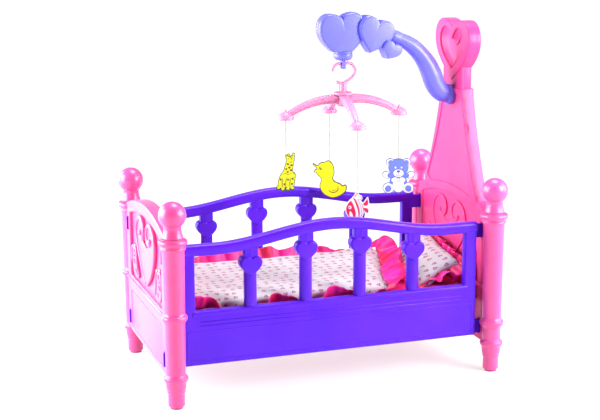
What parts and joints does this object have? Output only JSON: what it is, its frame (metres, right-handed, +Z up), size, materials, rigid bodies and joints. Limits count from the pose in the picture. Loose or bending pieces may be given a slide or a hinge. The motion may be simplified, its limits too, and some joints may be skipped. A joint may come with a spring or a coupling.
{
  "type": "toy doll crib with mobile",
  "caption": "Plastic toy doll crib with slatted side rails, a heart-topped headboard tower, quilt and pillow, and a motor-driven mobile of hanging animal figures.",
  "frame": {"origin": "on the floor, at the middle of the four feet", "axes": "+X toward the headboard, +Y toward the left side rail, +Z up"},
  "size_m": [0.4986, 0.292, 0.5038],
  "materials": {
    "pink_plastic": "glossy moulded pink plastic",
    "pale_pink_plastic": "glossy moulded pale pink plastic",
    "glide_plastic": "matte pink foot glide",
    "purple_plastic": "glossy moulded purple plastic",
    "satin_ruffle": "hot pink satin",
    "printed_cotton": "white cotton with small pink printed motifs",
    "periwinkle_plastic": "glossy moulded periwinkle plastic",
    "battery_cell": "plain sleeved battery cell",
    "switch_plastic": "matte white switch knob",
    "gear_plastic": "natural white gear plastic",
    "bright_steel": "bright steel",
    "string": "thin white thread",
    "giraffe_print": "yellow printed card plastic with brown spots",
    "fish_print": "red and white striped printed plastic",
    "bear_print": "blue and white printed plastic",
    "duck_print": "yellow printed plastic"
  },
  "bodies": {
    "crib": {"post_foot_right": "pink_plastic", "post_foot_left": "pink_plastic", "post_head_right": "pink_plastic", "post_head_left": "pink_plastic", "finial_foot_right": "pink_plastic", "finial_foot_left": "pink_plastic", "finial_head_right": "pink_plastic", "finial_head_left": "pink_plastic", "headboard": "pink_plastic", "heart_crest": "pink_plastic", "bed_deck": "pink_plastic", "footboard": "pale_pink_plastic", "glide_foot_right": "glide_plastic", "glide_foot_left": "glide_plastic", "glide_head_right": "glide_plastic", "glide_head_left": "glide_plastic", "side_rail_right": "purple_plastic", "side_rail_left": "purple_plastic", "mattress": "satin_ruffle", "quilt": "printed_cotton", "pillow": "printed_cotton", "mobile_arm": "periwinkle_plastic", "heart_front": "periwinkle_plastic", "heart_back": "periwinkle_plastic", "heart_medium": "periwinkle_plastic", "heart_small": "periwinkle_plastic", "collar": "periwinkle_plastic", "battery_door": "periwinkle_plastic", "battery_cell_lower": "battery_cell", "battery_cell_upper": "battery_cell", "screw_left": "bright_steel", "screw_right": "bright_steel", "motor": "bright_steel"},
    "switch": {"switch_knob": "switch_plastic"},
    "pinion": {"motor_pinion": "gear_plastic"},
    "mobile": {"spindle": "periwinkle_plastic", "drive_gear": "gear_plastic", "heart_hook": "pale_pink_plastic", "mobile_hub": "pale_pink_plastic", "branch_giraffe": "pale_pink_plastic", "branch_fish": "pale_pink_plastic", "branch_bear": "pale_pink_plastic", "branch_duck": "pale_pink_plastic", "cap_giraffe": "pale_pink_plastic", "cap_fish": "pale_pink_plastic", "cap_bear": "pale_pink_plastic", "cap_duck": "pale_pink_plastic"},
    "string_giraffe": {"string_giraffe": "string"},
    "figure_giraffe": {"figure_giraffe": "giraffe_print"},
    "string_fish": {"string_fish": "string"},
    "figure_fish": {"figure_fish": "fish_print"},
    "string_bear": {"string_bear": "string"},
    "figure_bear": {"figure_bear": "bear_print"},
    "string_duck": {"string_duck": "string"},
    "figure_duck": {"figure_duck": "duck_print"}
  },
  "joints": [
    {"name": "mobile_spin", "type": "hinge", "parent": "crib", "child": "mobile", "pos_m": [0.0517, 0, 0.445], "axis": [0, 0, 1], "continuous": true},
    {"name": "motor_spin", "type": "hinge", "parent": "crib", "child": "pinion", "pos_m": [0.062, 0, 0.46], "axis": [0, 0, 1], "continuous": true},
    {"name": "switch_slide", "type": "slide", "parent": "crib", "child": "switch", "axis": [1, 0, 0], "range_m": [0, 0.003]},
    {"name": "giraffe_swing", "type": "hinge", "parent": "mobile", "child": "string_giraffe", "pos_m": [-0.03055, 0.00952, 0.3555], "axis": [-0.9934, 0.1149, 0], "range_deg": [-10, 10]},
    {"name": "giraffe_turn", "type": "hinge", "parent": "string_giraffe", "child": "figure_giraffe", "pos_m": [-0.03055, 0.00952, 0.306], "axis": [0, 0, 1], "range_deg": [-60, 60]},
    {"name": "fish_swing", "type": "hinge", "parent": "mobile", "child": "string_fish", "pos_m": [0.04218, -0.08225, 0.3511], "axis": [-0.1149, -0.9934, 0], "range_deg": [-10, 10]},
    {"name": "fish_turn", "type": "hinge", "parent": "string_fish", "child": "figure_fish", "pos_m": [0.04218, -0.08225, 0.2655], "axis": [0, 0, 1], "range_deg": [-20, 20]},
    {"name": "bear_swing", "type": "hinge", "parent": "mobile", "child": "string_bear", "pos_m": [0.13395, -0.00952, 0.3571], "axis": [0.9934, -0.1149, 0], "range_deg": [-10, 10]},
    {"name": "bear_turn", "type": "hinge", "parent": "string_bear", "child": "figure_bear", "pos_m": [0.13395, -0.00952, 0.293], "axis": [0, 0, 1], "range_deg": [-60, 60]},
    {"name": "duck_swing", "type": "hinge", "parent": "mobile", "child": "string_duck", "pos_m": [0.06122, 0.08225, 0.3511], "axis": [0.1149, 0.9934, 0], "range_deg": [-10, 10]},
    {"name": "duck_turn", "type": "hinge", "parent": "string_duck", "child": "figure_duck", "pos_m": [0.06122, 0.08225, 0.2795], "axis": [0, 0, 1], "range_deg": [-15, 15]}
  ],
  "couplings": [
    {"joint": "motor_spin", "follows": "mobile_spin", "ratio": -4}
  ]
}
